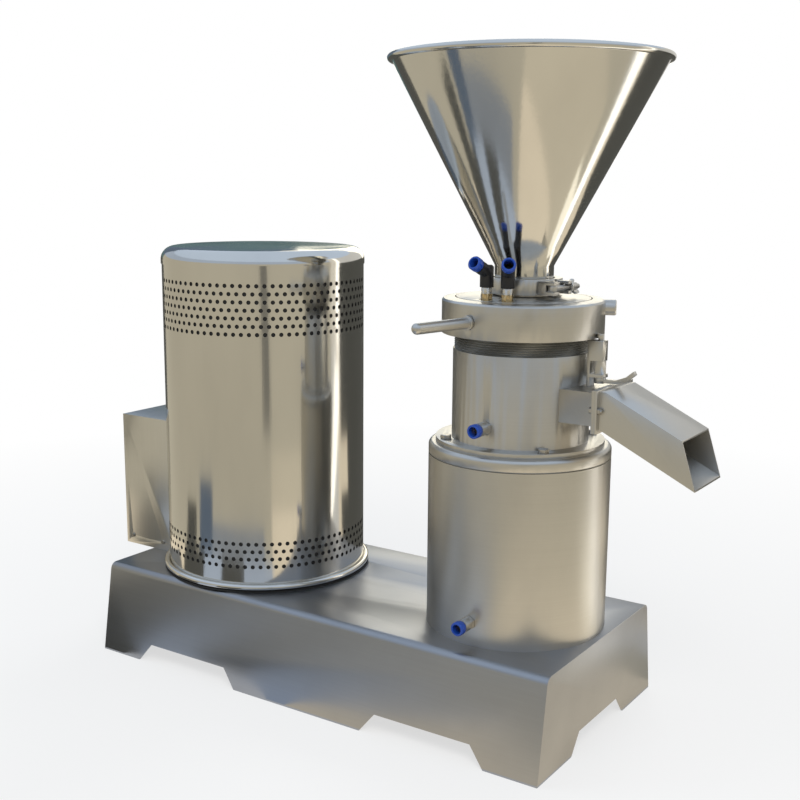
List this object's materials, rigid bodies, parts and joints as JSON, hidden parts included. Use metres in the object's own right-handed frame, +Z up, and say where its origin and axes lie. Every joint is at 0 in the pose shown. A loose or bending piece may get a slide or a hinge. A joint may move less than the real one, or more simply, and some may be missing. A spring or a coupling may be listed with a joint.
{
  "type": "colloid mill",
  "caption": "Floor-standing vertical colloid mill: a cone hopper over a toothed rotor and stator, belt-driven by a hooded motor on a folded sheet base, with a sloping outlet chute.",
  "frame": {"origin": "on the floor under the middle of the base", "axes": "+X along the base towards the mill and its outlet, +Z up, -Y is the side with the handle bar and water fittings"},
  "size_m": [1.2525, 0.5033, 1.163],
  "materials": {
    "polished_steel": "mirror-polished stainless sheet",
    "satin_base": "satin stainless sheet",
    "terminal_sheet": "polished stainless sheet",
    "satin_steel": "turned stainless, satin",
    "thread_steel": "dark threaded steel",
    "plate_steel": "primed plate",
    "motor_paint": "blue-grey enamel",
    "cast": "machined cast iron",
    "shaft_steel": "ground steel",
    "bearing_steel": "ground bearing steel",
    "bolt_steel": "stainless fasteners",
    "black_rubber": "black rubber",
    "gasket_white": "white food-grade rubber",
    "seal_face": "carbon and ceramic seal faces",
    "black_plastic": "black moulded plastic",
    "blue_plastic": "blue moulded plastic",
    "brass": "nickel-plated and bare brass"
  },
  "bodies": {
    "root": {"base_frame": "satin_base", "drive_plate": "plate_steel", "hood_drum": "polished_steel", "hood_cap": "polished_steel", "hood_seal": "black_rubber", "terminal_box": "terminal_sheet", "terminal_cover": "terminal_sheet", "cover_screws": "bolt_steel", "cable_gland": "black_plastic", "motor_flange": "motor_paint", "motor_frame": "motor_paint", "fan_cowl": "motor_paint", "motor_bearings": "bearing_steel", "motor_bolts": "bolt_steel", "drive_belts": "black_rubber", "bearing_housing": "cast", "lower_bearing_cap": "cast", "upper_bearing_cap": "cast", "bearing_outer_rings": "bearing_steel", "pedestal_shell": "satin_steel", "pedestal_top": "satin_steel", "seal_seat": "seal_face", "grinding_chamber": "satin_steel", "chamber_bolts": "bolt_steel", "thread_collar": "thread_steel", "outlet_stub": "satin_steel", "chute": "satin_steel", "chute_bolts": "bolt_steel", "lock_block": "satin_steel", "side_fittings": "satin_steel"},
    "motor_rotor": {"motor_shaft": "shaft_steel", "motor_fan": "black_plastic", "motor_pulley": "cast"},
    "spindle_set": {"spindle": "shaft_steel", "mill_pulley": "cast", "bearing_inner_rings": "bearing_steel", "bearing_balls": "bearing_steel", "seal_ring": "seal_face", "rotor": "shaft_steel", "discharge_paddle": "shaft_steel", "feed_impeller": "shaft_steel"},
    "head": {"head_cover": "satin_steel", "stator": "shaft_steel", "ferrule_gasket": "gasket_white", "hopper": "polished_steel", "clamp_rear_half": "satin_steel", "clamp_front_half": "satin_steel", "clamp_pins": "shaft_steel", "swing_bolt": "satin_steel", "head_nipples": "brass"},
    "ring": {"adjusting_ring": "satin_steel", "handle_bar": "satin_steel"},
    "lock": {"lock_lever": "satin_steel"},
    "elbow_left": {"left_elbow": "black_plastic"},
    "elbow_right": {"right_elbow": "black_plastic"},
    "release_left": {"left_elbow_collar": "blue_plastic"},
    "release_right": {"right_elbow_collar": "blue_plastic"},
    "release_chamber": {"chamber_collar": "blue_plastic"},
    "release_pedestal": {"pedestal_collar": "blue_plastic"},
    "clamp_nut": {"wing_nut": "satin_steel"}
  },
  "joints": [
    {"name": "motor_spin", "type": "hinge", "parent": "root", "child": "motor_rotor", "pos_m": [-0.255, 0, 0.3], "axis": [0, 0, 1], "continuous": true},
    {"name": "spindle_spin", "type": "hinge", "parent": "root", "child": "spindle_set", "pos_m": [0.329, 0, 0.3], "axis": [0, 0, 1], "continuous": true},
    {"name": "head_lift", "type": "slide", "parent": "root", "child": "head", "axis": [0, 0, 1], "range_m": [0, 0.001]},
    {"name": "ring_turn", "type": "hinge", "parent": "head", "child": "ring", "pos_m": [0.329, 0, 0.73], "axis": [0, 0, 1], "range_deg": [0, 90]},
    {"name": "lock_turn", "type": "hinge", "parent": "root", "child": "lock", "pos_m": [0.477, 0, 0.66], "axis": [0, 0, 1], "range_deg": [0, 75]},
    {"name": "left_swivel", "type": "hinge", "parent": "head", "child": "elbow_left", "pos_m": [0.30828, -0.09271, 0.8], "axis": [0, 0, 1], "range_deg": [-100, 30]},
    {"name": "right_swivel", "type": "hinge", "parent": "head", "child": "elbow_right", "pos_m": [0.34774, -0.09211, 0.8], "axis": [0, 0, 1], "range_deg": [-20, 60]},
    {"name": "left_release", "type": "slide", "parent": "elbow_left", "child": "release_left", "axis": [0.0947, 0.9013, -0.4226], "range_m": [0, 0.0015], "stiffness_N_per_m": 1500},
    {"name": "right_release", "type": "slide", "parent": "elbow_right", "child": "release_right", "axis": [-0.4532, 0.7849, -0.4226], "range_m": [0, 0.0015], "stiffness_N_per_m": 1500},
    {"name": "chamber_release", "type": "slide", "parent": "root", "child": "release_chamber", "axis": [0.0175, 0.9998, 0], "range_m": [0, 0.0015], "stiffness_N_per_m": 1500},
    {"name": "pedestal_release", "type": "slide", "parent": "root", "child": "release_pedestal", "axis": [0.0175, 0.9998, 0], "range_m": [0, 0.0015], "stiffness_N_per_m": 1500},
    {"name": "nut_turn", "type": "hinge", "parent": "head", "child": "clamp_nut", "pos_m": [0.41354, 0.01235, 0.7825], "axis": [0.1392, 0.9903, 0], "continuous": true}
  ],
  "couplings": [
    {"joint": "spindle_spin", "follows": "motor_spin", "ratio": 1.1538},
    {"joint": "head_lift", "follows": "ring_turn", "m_per_rad": 0.00063662}
  ]
}
